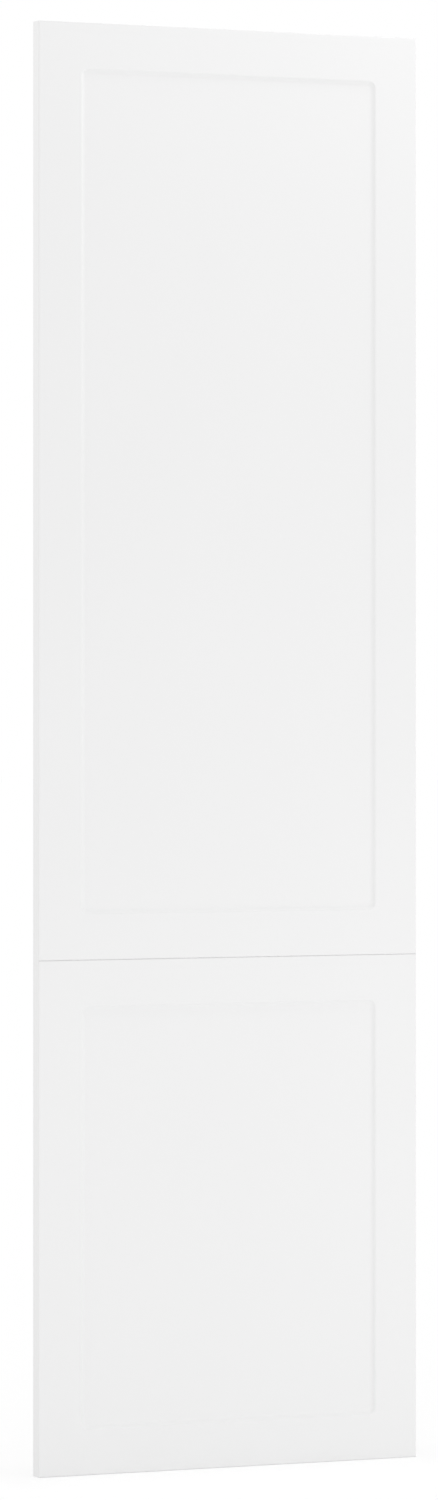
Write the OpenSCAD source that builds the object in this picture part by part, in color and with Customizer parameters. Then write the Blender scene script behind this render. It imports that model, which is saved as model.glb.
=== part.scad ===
// Side panel of a tall cabinet, in two boards that stand one on the other.
// Each board has a framed recess milled into its front. Millimetres throughout.
// The front faces -Y, +Z is up, and the origin is at the middle of the lower board's foot.

/* [Boards] */
// Width of both boards
board_w = 580; // [300:1:700]
// Thickness of both boards
board_t = 22; // [16:0.5:30]
// Height of the upper board
upper_h = 1310; // [400:1:1600]
// Height of the lower board
lower_h = 720; // [300:1:1000]

/* [Edges] */
// Radius of the round along the four front edges
front_edge_r = 2; // [0.5:0.1:5]
// Width of the fine bevel that breaks the four back edges
back_bevel = 0.6; // [0.2:0.1:2]

/* [Milled recess] */
// Width of the flat frame that is left standing round the recess
frame_w = 63.5; // [30:0.5:110]
// Depth of the recess floor below the face of the frame
recess_depth = 3.5; // [1:0.1:4.5]
// Radius of the recess at its corners, measured on the face of the frame
mouth_corner_r = 11; // [11:0.5:30]
// Radius of the cove at the foot of the recess side
cove_r = 9; // [5:0.5:14]
// Radius of the round-over at the top of the recess side
roundover_r = 4; // [1:0.1:6]
// Angle at which the round-over leaves the face of the frame
face_angle = 10; // [5:1:20]

/* [Hidden] */
$fn = 96;
// How far a cutting shape runs past the surface that it cuts
overrun = 2;
// How far the round-over bites into the cove, so that the two arcs cross in one clean line
arc_bite = 0.02;
// Depth of the round-over's centre below the face of the frame
roundover_drop = roundover_r * cos(face_angle);
// Height of the cove's centre above the face of the frame
cove_lift = cove_r - recess_depth;
// Height from the round-over's centre up to the cove's centre
centre_rise = cove_lift + roundover_drop;
// Distance along the face between those two centres
centre_reach = sqrt(pow(cove_r + roundover_r - arc_bite, 2) - pow(centre_rise, 2));
// Steepest angle of the recess side, where the two arcs meet
slope_angle = atan2(centre_reach, centre_rise);
// Depth below the face at which the two arcs meet
turn_depth = cove_r * cos(slope_angle) - cove_lift;
// Distance from a corner's centre to the centre of the round-over
roundover_at = mouth_corner_r + roundover_r * sin(face_angle);
// Radius of the recess floor at its corners, which is half the width of the cutter's flat tip
tip_r = roundover_at - centre_reach;

// Side of the recess in section, with the face of the frame at y = 0.
// x runs out from a corner's centre and y runs out of the board.
module side_section() {
    difference() {
        union() {
            // Reach of the flat tip
            translate([0, -recess_depth]) square([tip_r, recess_depth + overrun]);
            // Cove, from the floor up
            intersection() {
                translate([tip_r, cove_lift]) circle(r = cove_r);
                translate([tip_r, -recess_depth - overrun]) square([cove_r, recess_depth + 2 * overrun]);
            }
            // Block that the round-over is taken from
            translate([0, -turn_depth]) square([roundover_at, turn_depth + overrun]);
        }
        translate([roundover_at, -roundover_drop]) circle(r = roundover_r);
    }
}

// Section right across the recess, between two corner centres and out to both sides
module full_section(half_w) {
    translate([-half_w, -recess_depth]) square([2 * half_w, recess_depth + overrun]);
    translate([half_w, 0]) side_section();
    mirror([1, 0]) translate([half_w, 0]) side_section();
}

// Everything that the cutter removes, where half_w and half_h lead from the middle to the corner centres
module milled_recess(half_w, half_h) {
    rotate([90, 0, 0]) linear_extrude(height = 2 * half_h, center = true) full_section(half_w);
    for (turn = [90, 270])
        rotate([0, 0, turn]) translate([half_h, 0, 0])
            rotate([90, 0, 0]) linear_extrude(height = 2 * half_w, center = true) side_section();
    for (corner = [[1, 1, 0], [-1, 1, 90], [-1, -1, 180], [1, -1, 270]])
        translate([corner[0] * half_w, corner[1] * half_h, 0]) rotate([0, 0, corner[2]])
            rotate_extrude(angle = 90) side_section();
}

// Section of a plain board with its front edges rounded and its back edges bevelled, the face at y = 0
module edge_section(span) {
    flat_half = span / 2 - front_edge_r;
    back_half = span / 2 - back_bevel;
    translate([-flat_half, -front_edge_r]) square([2 * flat_half, front_edge_r]);
    for (side = [-1, 1]) translate([side * flat_half, -front_edge_r]) circle(r = front_edge_r);
    polygon([
        [-span / 2, -front_edge_r],
        [-span / 2, back_bevel - board_t],
        [-back_half, -board_t],
        [back_half, -board_t],
        [span / 2, back_bevel - board_t],
        [span / 2, -front_edge_r]
    ]);
}

// Board before milling, lying on its back with its face at z = 0
module blank(height) {
    intersection() {
        rotate([90, 0, 0])
            linear_extrude(height = height + 2 * overrun, center = true) edge_section(board_w);
        rotate([90, 0, 90])
            linear_extrude(height = board_w + 2 * overrun, center = true) edge_section(height);
    }
}

// Board milled on the bench, then stood up on its lower edge with its face to -Y
module milled_board(height) {
    translate([0, -board_t / 2, height / 2]) rotate([90, 0, 0]) difference() {
        blank(height);
        milled_recess(board_w / 2 - frame_w - mouth_corner_r, height / 2 - frame_w - mouth_corner_r);
    }
}

module upper_panel() {
    color("whitesmoke") translate([0, 0, lower_h]) milled_board(upper_h);
}

module lower_panel() {
    color("whitesmoke") milled_board(lower_h);
}

upper_panel();
lower_panel();
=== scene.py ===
# %% [markdown]
# # A milled side panel for a tall cabinet
# The real thing is two boards of fibreboard that stand one on the other and cover the side of a cabinet.
# Each board is cut from one sheet, milled on its face, and wrapped in a thin white foil under a membrane
# press. So there is no frame of separate rails, no glue line and no nail to model: the form is all in one
# milled skin.
#
# The construction is already fixed, and this script dresses it. Its boards are exact but coarsely faceted,
# so each is modelled again here with fine arcs, at the same size and in the same place.

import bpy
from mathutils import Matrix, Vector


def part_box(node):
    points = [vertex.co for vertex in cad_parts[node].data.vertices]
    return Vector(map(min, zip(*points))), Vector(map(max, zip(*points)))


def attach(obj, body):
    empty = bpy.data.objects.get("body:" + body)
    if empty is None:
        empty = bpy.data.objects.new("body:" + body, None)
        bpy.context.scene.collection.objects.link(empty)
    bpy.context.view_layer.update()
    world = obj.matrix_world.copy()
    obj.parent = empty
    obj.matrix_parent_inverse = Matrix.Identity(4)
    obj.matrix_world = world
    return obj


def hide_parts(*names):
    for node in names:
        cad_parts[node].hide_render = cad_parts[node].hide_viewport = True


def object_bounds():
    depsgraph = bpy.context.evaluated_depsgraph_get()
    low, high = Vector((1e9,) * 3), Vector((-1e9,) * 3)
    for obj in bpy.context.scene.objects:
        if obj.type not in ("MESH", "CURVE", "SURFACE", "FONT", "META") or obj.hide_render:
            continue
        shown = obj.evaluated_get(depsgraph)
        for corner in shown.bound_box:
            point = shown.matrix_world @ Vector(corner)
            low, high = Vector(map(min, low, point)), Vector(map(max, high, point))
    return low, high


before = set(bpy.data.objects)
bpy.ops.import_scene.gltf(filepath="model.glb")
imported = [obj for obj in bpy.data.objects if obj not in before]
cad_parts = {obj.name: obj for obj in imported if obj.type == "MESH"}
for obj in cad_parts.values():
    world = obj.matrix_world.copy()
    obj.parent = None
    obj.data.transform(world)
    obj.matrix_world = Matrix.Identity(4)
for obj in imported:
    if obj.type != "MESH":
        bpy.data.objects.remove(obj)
cad_low, cad_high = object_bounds()
print("construction box, m:", [round(v, 4) for v in (*cad_low, *cad_high)])

# %% [markdown]
# ## Sizes
# The width, thickness and heights come from the loaded boards, so they can't drift from the construction.
# The sizes of the edges and of the milling can't be read from a box, so they are repeated here in
# millimetres. Blender works in metres: one small factor turns a maker's millimetre into Blender's unit.

# %% Sizes of the edges and of the milling
import math

import bmesh
import bpy
from mathutils import Euler, Matrix, Vector

MM = 0.001
EDGE_ROUND = 2.0 * MM
BACK_BEVEL = 0.6 * MM
FRAME_WIDTH = 63.5 * MM
RECESS_DEPTH = 3.5 * MM
MOUTH_CORNER = 11.0 * MM
COVE = 9.0 * MM
ROUND_OVER = 4.0 * MM
FACE_ANGLE = math.radians(10.0)

# %% [markdown]
# ## The camera
# The panel is seen from its left through a long lens, from about half its height, and its upright edges
# stay upright. A tilted camera would make them lean together, so this one looks level, and a small vertical
# shift moves the picture down to the panel, as an architectural photographer's lens does.
#
# The place was worked out from the panel's own corners: the far edge is 97.4 % as tall as the near one,
# which gives the distance, and the angle follows from the width and from the strip of the left edge.

# %% Camera at the photograph's view
PICTURE_HEIGHT_PX = 1500
HORIZON_ROW_PX = 690.7
CAMERA_TURN = math.radians(23.09)
CAMERA_DISTANCE = 8.352
CAMERA_HEIGHT = 1.0964
CAMERA_SIDESTEP = -0.0114
FOCAL_PX = 5909.0
SENSOR_LONG_SIDE = 36.0
VIEW_REACH = 200.0

ahead = Vector((math.sin(CAMERA_TURN), math.cos(CAMERA_TURN), 0.0))
rightward = Vector((math.cos(CAMERA_TURN), -math.sin(CAMERA_TURN), 0.0))
lens_data = bpy.data.cameras.new("long_lens")
lens_data.sensor_width = SENSOR_LONG_SIDE
lens_data.lens = FOCAL_PX / PICTURE_HEIGHT_PX * SENSOR_LONG_SIDE
lens_data.shift_y = (HORIZON_ROW_PX / PICTURE_HEIGHT_PX) - 0.5
lens_data.clip_end = VIEW_REACH
camera = bpy.data.objects.new("camera", lens_data)
camera.location = rightward * CAMERA_SIDESTEP - ahead * CAMERA_DISTANCE + Vector((0, 0, CAMERA_HEIGHT))
camera.rotation_euler = Euler((math.radians(90.0), 0.0, -CAMERA_TURN))
bpy.context.scene.collection.objects.link(camera)
bpy.context.scene.camera = camera
print(f"lens {lens_data.lens:.1f} mm, shift {lens_data.shift_y:.4f}")

# %% [markdown]
# ## The blank
# A board starts as a sawn blank. Its four front edges are rounded by a router and its four back edges are
# only broken by a light pass, so that the foil has no sharp corner to tear on.
#
# A box and two bevels give exactly that. The bevel's profile of 0.5 is a true quarter circle. Eight
# segments keep the two-millimetre round smooth in a close view, where the construction mesh shows flats.

# %% A board's blank
ROUND_SEGMENTS = 8
BEVEL_SEGMENTS = 2
BACK_MARGIN = 0.1 * MM


def bevel_edges(bm, edges, offset, segments):
    """Round the given edges to a true arc of that radius."""
    bmesh.ops.bevel(bm, geom=edges, offset=offset, offset_type="OFFSET", segments=segments,
                    profile=0.5, affect="EDGES", material=-1)


def blank_board(bm, low, high):
    """Fill an empty bmesh with a board between two corners, its edges already worked."""
    middle = (low + high) / 2
    bmesh.ops.create_cube(bm, size=1.0)
    bmesh.ops.scale(bm, vec=high - low, verts=bm.verts)
    bmesh.ops.translate(bm, vec=middle, verts=bm.verts)
    front = [e for e in bm.edges if all(v.co.y < middle.y for v in e.verts)]
    bevel_edges(bm, front, EDGE_ROUND, ROUND_SEGMENTS)
    back = [e for e in bm.edges if all(v.co.y > high.y - BACK_MARGIN for v in e.verts)]
    bevel_edges(bm, back, BACK_BEVEL, BEVEL_SEGMENTS)


print(f"front edges: {EDGE_ROUND / MM:.1f} mm round in {ROUND_SEGMENTS} steps")
print(f"back edges: {BACK_BEVEL / MM:.1f} mm bevel in {BEVEL_SEGMENTS} steps")

# %% [markdown]
# ## The section of the milled side
# The cutter leaves an ogee. At the mouth a small round-over turns down from the frame, and a larger cove
# carries it on to the flat floor. Drawn as two arcs, the section needs no list of points: each arc is
# stepped by angle, and both stop at the angle where they meet.
#
# The steps are (reach, depth) pairs: how far in from the mouth and how far below the face.

# %% The ogee as steps in and down
ARC_STEPS = 8
ARC_BITE = 0.02 * MM


def ogee_steps():
    """Step from the mouth of the recess down to its floor."""
    drop = ROUND_OVER * math.cos(FACE_ANGLE)
    rise = COVE - RECESS_DEPTH + drop
    reach = math.sqrt((COVE + ROUND_OVER - ARC_BITE) ** 2 - rise ** 2)
    meet = math.atan2(reach, rise)
    start = -ROUND_OVER * math.sin(FACE_ANGLE)
    steps = []
    for i in range(ARC_STEPS + 1):
        angle = FACE_ANGLE + (meet - FACE_ANGLE) * i / ARC_STEPS
        steps.append((start + ROUND_OVER * math.sin(angle), ROUND_OVER * math.cos(angle) - drop))
    for i in range(1, ARC_STEPS + 1):
        angle = meet * (1 - i / ARC_STEPS)
        steps.append((start + reach - COVE * math.sin(angle), COVE - RECESS_DEPTH - COVE * math.cos(angle)))
    return [(inward, -height) for inward, height in steps]


ogee = ogee_steps()
print(f"ogee: {len(ogee)} rings, {ogee[-1][0] / MM:.2f} mm wide, {ogee[-1][1] / MM:.2f} mm deep")

# %% [markdown]
# ## The recess
# The recess could be cut from the board with a boolean, but that leaves ragged faces where the arcs graze
# the face. Insetting is closer to the milling: a flat panel with rounded corners is inset again and again,
# each time by one step of the ogee in and one step down. The corners tighten as they go in, because an even
# inset keeps every ring parallel to the last, which is what a cutter of that section leaves.
#
# The frame's face is then the flat region between the board's outline and the recess's mouth. Two closed
# loops of edges bound it, and a triangle fill closes it in one plane.

# %% Milling the recess
CORNER_SEGMENTS = 20


def mouth_panel(bm, low, high):
    """Lay the flat panel that the recess starts from, with its four corners rounded, and return its face."""
    span = (high - low) - Vector((2 * FRAME_WIDTH, 0.0, 2 * FRAME_WIDTH))
    centre = (low + high) / 2
    upright = Matrix.Rotation(math.radians(90.0), 4, "X")
    corners = bmesh.ops.create_grid(bm, x_segments=1, y_segments=1, size=0.5, matrix=upright)["verts"]
    bmesh.ops.scale(bm, vec=(span.x, 1.0, span.z), verts=corners)
    bmesh.ops.translate(bm, vec=(centre.x, low.y, centre.z), verts=corners)
    arcs = bmesh.ops.bevel(bm, geom=corners, offset=MOUTH_CORNER, offset_type="OFFSET",
                           segments=CORNER_SEGMENTS, profile=0.5, affect="VERTICES", material=-1)
    return arcs["verts"][0].link_faces[0]


def mill_recess(bm, low, high):
    """Cut the recess into the front of a blank board."""
    front = min(bm.faces, key=lambda f: (round(f.normal.y, 3), -f.calc_area()))
    bmesh.ops.delete(bm, geom=[front], context="FACES_ONLY")
    outline = [e for e in bm.edges if e.is_boundary]
    floor = mouth_panel(bm, low, high)
    mouth = list(floor.edges)
    bmesh.ops.triangle_fill(bm, use_beauty=True, use_dissolve=False, edges=outline + mouth, normal=(0, -1, 0))
    for (inward, depth), (next_inward, next_depth) in zip(ogee, ogee[1:]):
        bmesh.ops.inset_region(bm, faces=[floor], thickness=next_inward - inward,
                               depth=depth - next_depth, use_even_offset=True)


print(f"recess corners: {MOUTH_CORNER / MM:.0f} mm at the mouth, in {CORNER_SEGMENTS} steps")

# %% [markdown]
# ## Finishes from nodes
# A finish in Blender is a small graph of nodes that ends in one shader. The same steps come back in each
# one here: make a noise pattern, spread it over a range of values, give it to the colour as an even grey,
# and raise the surface by it. Each is a helper, so a finish further down reads as a short list of what it
# is made of.
#
# The patterns read Object coordinates, in metres, so a scale of 200 gives cells about five millimetres
# wide, the same on both boards. A photograph of the foil wrapped round the mesh would stretch over the
# round edges.

# %% Helpers for finishes
def new_material(name):
    """Return a material, its node tree and its surface shader."""
    material = bpy.data.materials.new(name)
    material.use_nodes = True
    return material, material.node_tree, material.node_tree.nodes["Principled BSDF"]


def noise(tree, scale, detail):
    """Add a noise pattern in the object's own metres."""
    place = tree.nodes.new("ShaderNodeTexCoord")
    pattern = tree.nodes.new("ShaderNodeTexNoise")
    pattern.inputs["Scale"].default_value = scale
    pattern.inputs["Detail"].default_value = detail
    tree.links.new(place.outputs["Object"], pattern.inputs["Vector"])
    return pattern.outputs["Fac"]


def remap(tree, value, low, high):
    """Spread a pattern that runs from 0 to 1 over a chosen range."""
    spread = tree.nodes.new("ShaderNodeMapRange")
    spread.inputs["To Min"].default_value = low
    spread.inputs["To Max"].default_value = high
    tree.links.new(value, spread.inputs["Value"])
    return spread.outputs["Result"]


def tint_grey(tree, shader, tone):
    """Colour a shader with an even grey of the given tone."""
    colour = tree.nodes.new("ShaderNodeCombineColor")
    for channel in ("Red", "Green", "Blue"):
        tree.links.new(tone, colour.inputs[channel])
    tree.links.new(colour.outputs["Color"], shader.inputs["Base Color"])


def bump(tree, height, distance, under=None):
    """Raise a surface by a height pattern, on top of another bump if one is given."""
    relief = tree.nodes.new("ShaderNodeBump")
    relief.inputs["Distance"].default_value = distance
    tree.links.new(height, relief.inputs["Height"])
    if under is not None:
        tree.links.new(under, relief.inputs["Normal"])
    return relief.outputs["Normal"]


# %% [markdown]
# ## The white foil
# The foil is a smooth satin white. Pressed hot over milled fibreboard, it is never optically flat: the
# board prints through as a faint orange peel a few millimetres across, and the foil's own face carries a
# far finer matt grain. Neither changes the colour, so both belong in the bump, and a slow drift in
# roughness keeps the sheen from looking like a sheet of plastic in a drawing.

# %% White foil
FOIL_TONE = (0.862, 0.878)
FOIL_TONE_SCALE = 3.0
FOIL_ROUGHNESS = (0.40, 0.48)
FOIL_ROUGHNESS_SCALE = 40.0
FOIL_IOR = 1.49
PEEL_SCALE = 200.0
PEEL_HEIGHT = 0.012 * MM
GRAIN_SCALE = 2500.0
GRAIN_HEIGHT = 0.004 * MM


def white_foil():
    """Satin foil over milled fibreboard."""
    material, tree, shader = new_material("satin_white_foil")
    tint_grey(tree, shader, remap(tree, noise(tree, FOIL_TONE_SCALE, detail=2.0), *FOIL_TONE))
    roughness = remap(tree, noise(tree, FOIL_ROUGHNESS_SCALE, detail=3.0), *FOIL_ROUGHNESS)
    tree.links.new(roughness, shader.inputs["Roughness"])
    peel = bump(tree, noise(tree, PEEL_SCALE, detail=1.0), PEEL_HEIGHT)
    grain = bump(tree, noise(tree, GRAIN_SCALE, detail=2.0), GRAIN_HEIGHT, under=peel)
    tree.links.new(grain, shader.inputs["Normal"])
    shader.inputs["IOR"].default_value = FOIL_IOR
    return material


foil = white_foil()
print(foil.name, "nodes", len(foil.node_tree.nodes))

# %% [markdown]
# ## The back
# The foil stops at the back edge. The back itself keeps the thin white melamine that the sheet came with, a
# shade darker and flatter than the foil, with the fine pearl texture of the press plate. It never shows
# once the panel is fixed, but the panel can be picked up and turned round.

# %% White melamine back
BACK_TONE = (0.82, 0.85)
BACK_TONE_SCALE = 600.0
BACK_ROUGHNESS = (0.55, 0.62)
BACK_ROUGHNESS_SCALE = 25.0
PEARL_SCALE = 900.0
PEARL_HEIGHT = 0.03 * MM


def white_melamine():
    """Pearl-textured melamine of the sheet's back face."""
    material, tree, shader = new_material("white_melamine")
    tint_grey(tree, shader, remap(tree, noise(tree, BACK_TONE_SCALE, detail=3.0), *BACK_TONE))
    roughness = remap(tree, noise(tree, BACK_ROUGHNESS_SCALE, detail=2.0), *BACK_ROUGHNESS)
    tree.links.new(roughness, shader.inputs["Roughness"])
    pearl = bump(tree, noise(tree, PEARL_SCALE, detail=3.0), PEARL_HEIGHT)
    tree.links.new(pearl, shader.inputs["Normal"])
    return material


melamine = white_melamine()
print(melamine.name, "nodes", len(melamine.node_tree.nodes))

# %% [markdown]
# ## The two boards
# Both boards come from the same steps, so one function makes either. The mesh is shaded smooth, edges that
# turn by more than 30 degrees are kept sharp, and a Weighted Normal modifier lets the broad flats decide
# the shading where they run into an arc. Without it, the smooth shading would smear the arc's turn right
# across the flat face.

# %% Making and seating the boards
MERGE_DISTANCE = 0.001 * MM
SHARP_ANGLE = math.radians(30.0)
FOIL_SLOT = 0
BACK_SLOT = 1
FACING_BACK = 0.99


def board_mesh(name, low, high):
    """Model a finished board between two corners."""
    bm = bmesh.new()
    blank_board(bm, low, high)
    mill_recess(bm, low, high)
    bmesh.ops.remove_doubles(bm, verts=bm.verts, dist=MERGE_DISTANCE)
    bmesh.ops.recalc_face_normals(bm, faces=bm.faces)
    for face in bm.faces:
        face.smooth = True
        face.material_index = BACK_SLOT if face.normal.y > FACING_BACK else FOIL_SLOT
    print(name, "faces", len(bm.faces), "volume, litres", round(bm.calc_volume() * 1000, 3))
    mesh = bpy.data.meshes.new(name)
    bm.to_mesh(mesh)
    bm.free()
    mesh.set_sharp_from_angle(angle=SHARP_ANGLE)
    mesh.materials.append(foil)
    mesh.materials.append(melamine)
    return mesh


def milled_board(name, node):
    """Put a finished board in the place of its construction node."""
    board = bpy.data.objects.new(name, board_mesh(name, *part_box(node)))
    bpy.context.scene.collection.objects.link(board)
    shading = board.modifiers.new("flat_faces_lead", "WEIGHTED_NORMAL")
    shading.keep_sharp = True
    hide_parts(node)
    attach(board, "root")
    return board


upper_board = milled_board("upper_board", "upper_panel")
lower_board = milled_board("lower_board", "lower_panel")

# %% [markdown]
# ## The room
# The panel stands in a plain white room with no corners. The world gives most of the light, evenly from all
# round, which is what keeps a white object white. Seen directly or in a reflection, it reads as pure white,
# through the Light Path node. The light that it throws on the panel is a little lower, so that the panel's
# own white stays below the background's and its edges stay readable.

# %% World
WORLD_LIGHT = 0.796


def arithmetic(tree, operation, first, second):
    """Add one step of arithmetic on two values, each a number or another node's output."""
    step = tree.nodes.new("ShaderNodeMath")
    step.operation = operation
    for value, socket in ((first, step.inputs[0]), (second, step.inputs[1])):
        if isinstance(value, float):
            socket.default_value = value
        else:
            tree.links.new(value, socket)
    return step.outputs["Value"]


def seen_directly(tree):
    """Give 1 where the camera, a reflection or a glass sees a surface, and 0 where it only gives light."""
    path = tree.nodes.new("ShaderNodeLightPath")
    total = path.outputs["Is Camera Ray"]
    for kind in ("Is Glossy Ray", "Is Transmission Ray"):
        total = arithmetic(tree, "MAXIMUM", total, path.outputs[kind])
    return total


world = bpy.data.worlds.new("white_room")
bpy.context.scene.world = world
world.use_nodes = True
room = world.node_tree
backdrop = room.nodes["Background"]
backdrop.inputs["Color"].default_value = (1.0, 1.0, 1.0, 1.0)
room.links.new(remap(room, seen_directly(room), WORLD_LIGHT, 1.0), backdrop.inputs["Strength"])
print(f"world: {WORLD_LIGHT} as a light, 1.0 where seen")

# %% [markdown]
# ## The floor
# The floor is one large plane. It reaches so far that its edge lies at the horizon, where white meets white.

# %% Floor
FLOOR_REACH = 60.0

floor_mesh = bpy.data.meshes.new("floor")
floor_bm = bmesh.new()
bmesh.ops.create_grid(floor_bm, x_segments=1, y_segments=1, size=FLOOR_REACH)
floor_bm.to_mesh(floor_mesh)
floor_bm.free()
floor = bpy.data.objects.new("floor", floor_mesh)
bpy.context.scene.collection.objects.link(floor)
print(f"floor: {2 * FLOOR_REACH:.0f} m across")

# %% [markdown]
# ## The painted shade at the foot
# Where a board meets a floor, a soft shade always runs along it. It is what makes a thing look as if it
# stands there. The floor's real shadow gives only a little of it, and the floor's own light would wash it
# out, so a shade is painted into the floor's paint: a little of that light is taken away along the foot,
# most at the board itself and less with each step away. The eye sees only a faint part of this painted
# shade, because a white floor is so bright, so the painted shade that the camera sees is lighter than the
# one that dims the light on the board.
#
# The distance to the foot is simple to find on a floor that lies at the origin: take the point's
# coordinates without their signs, take off half the panel's plan, and measure what is left.

# %% Painted shade along the foot
# Painted shade along the foot: how much light it takes away, how much the camera sees, and how far it
# reaches.
FOOT_SHADE = 0.065
FOOT_SHADE_SEEN = 0.024
FOOT_SHADE_REACH = 150.0 * MM


def distance_to_foot(tree):
    """Distance over the floor from a point to the edge of the panel's plan."""
    vector = tree.nodes.new("ShaderNodeTexCoord").outputs["Object"]
    half_plan = (cad_high.x, cad_high.y, 0.0)
    for operation, amount in (("ABSOLUTE", None), ("SUBTRACT", half_plan), ("MAXIMUM", (0.0, 0.0, 0.0))):
        step = tree.nodes.new("ShaderNodeVectorMath")
        step.operation = operation
        tree.links.new(vector, step.inputs[0])
        if amount is not None:
            step.inputs[1].default_value = amount
        vector = step.outputs["Vector"]
    length = tree.nodes.new("ShaderNodeVectorMath")
    length.operation = "LENGTH"
    tree.links.new(vector, length.inputs[0])
    return length.outputs["Value"]


def shaded_at_foot(tree, strength):
    """Paint a soft shade along the foot: take some of a strength away near the panel."""
    away = arithmetic(tree, "DIVIDE", distance_to_foot(tree), FOOT_SHADE_REACH)
    near = arithmetic(tree, "SUBTRACT", 1.0, arithmetic(tree, "MINIMUM", away, 1.0))
    depth = remap(tree, seen_directly(tree), FOOT_SHADE, FOOT_SHADE_SEEN)
    return arithmetic(tree, "SUBTRACT", strength, arithmetic(tree, "MULTIPLY", near, depth))


print(f"foot shade, {FOOT_SHADE_REACH / MM:.0f} mm wide: {FOOT_SHADE} as a light, {FOOT_SHADE_SEEN} seen")

# %% [markdown]
# ## The floor's paint
# The floor is matt white paint, so its shader is a plain Diffuse, which keeps the shadow that the panel
# casts. An Emission is added to it, with two levels. For the camera, a lift brings the lit floor up to
# exactly white. For the panel, a faint glow stands in for the lamps of a studio: a real floor throws their
# light up again, onto every slope that faces down, and the lamps below leave this floor alone. The painted
# shade along the foot is taken off both.

# %% Floor paint
FLOOR_WHITE = 0.96
FLOOR_GLOW = 0.16

paint = bpy.data.materials.new("floor_paint")
paint.use_nodes = True
tree = paint.node_tree
tree.nodes.clear()
matt = tree.nodes.new("ShaderNodeBsdfDiffuse")
matt.inputs["Color"].default_value = (FLOOR_WHITE, FLOOR_WHITE, FLOOR_WHITE, 1.0)
full_lift = 1.0 - FLOOR_WHITE * WORLD_LIGHT
glow = remap(tree, seen_directly(tree), FLOOR_GLOW, full_lift)
lift = tree.nodes.new("ShaderNodeEmission")
# The painted shade along the foot is taken off the floor's glow and lift here.
tree.links.new(shaded_at_foot(tree, glow), lift.inputs["Strength"])
both = tree.nodes.new("ShaderNodeAddShader")
tree.links.new(matt.outputs["BSDF"], both.inputs[0])
tree.links.new(lift.outputs["Emission"], both.inputs[1])
surface = tree.nodes.new("ShaderNodeOutputMaterial")
tree.links.new(both.outputs["Shader"], surface.inputs["Surface"])
floor_mesh.materials.append(paint)
print(f"floor paint: glow {FLOOR_GLOW} as a light, lift {full_lift:.3f} where seen")

# %% [markdown]
# ## Soft boxes
# A white panel in an even white room would show hardly any milling, because every slope would be lit alike.
# A few weak soft boxes tip that balance. Three stand low, in front and to both sides, and keep the lower
# board as bright as the upper one. Two hang close above the top edge. Light that close falls off fast: it
# brightens the upper right corner and darkens the slope under the top rail, and has faded before it reaches
# the lower board. The last one stands behind the face on the left, where it can reach nothing but the upper
# board's narrow side.
#
# On a real set, flags keep that light off the floor. Blender's light linking does the same: each lamp is
# given a collection of receivers, here the two boards, and lights nothing else. The floor stays as even as
# the backdrop, and the lamps don't wash out the shade along the foot.

# %% Soft boxes
lit_boards = bpy.data.collections.new("lit_by_soft_boxes")
for board in (upper_board, lower_board):
    lit_boards.objects.link(board)


def soft_box(name, place, target, size, watts):
    """Hang a rectangular lamp at a place and turn it to a target."""
    lamp_data = bpy.data.lights.new(name, "AREA")
    lamp_data.shape = "RECTANGLE"
    lamp_data.size, lamp_data.size_y = size
    lamp_data.energy = watts
    lamp = bpy.data.objects.new(name, lamp_data)
    lamp.location = place
    lamp.rotation_euler = (Vector(target) - Vector(place)).to_track_quat("-Z", "Y").to_euler()
    lamp.light_linking.receiver_collection = lit_boards
    bpy.context.scene.collection.objects.link(lamp)


soft_box("low_front", place=(0.4, -2.5, 0.3), target=(0.0, 0.0, 0.9), size=(2.0, 0.5), watts=3.7)
soft_box("low_left", place=(-2.6, -1.0, 0.5), target=(0.0, 0.0, 0.7), size=(1.0, 1.0), watts=3.6)
soft_box("low_right", place=(1.8, -1.4, 0.5), target=(0.0, 0.0, 0.7), size=(1.0, 1.0), watts=4.7)
soft_box("close_above_right", place=(0.9, -0.5, 2.9), target=(0.15, 0.0, 1.8), size=(0.7, 0.5), watts=4.25)
soft_box("close_above", place=(0.1, -0.3, 2.75), target=(0.0, 0.0, 1.6), size=(1.0, 0.3), watts=0.75)
soft_box("rim_left", place=(-1.4, 0.5, 2.5), target=(-0.3, 0.0, 1.7), size=(0.5, 0.5), watts=1.8)
print("soft boxes, W:", {lamp.name: round(lamp.energy, 2) for lamp in bpy.data.lights})

# %% [markdown]
# ## Closing
# The view is plain: standard colours, no tone curve.

# %% Plain view
bpy.context.scene.view_settings.view_transform = "Standard"
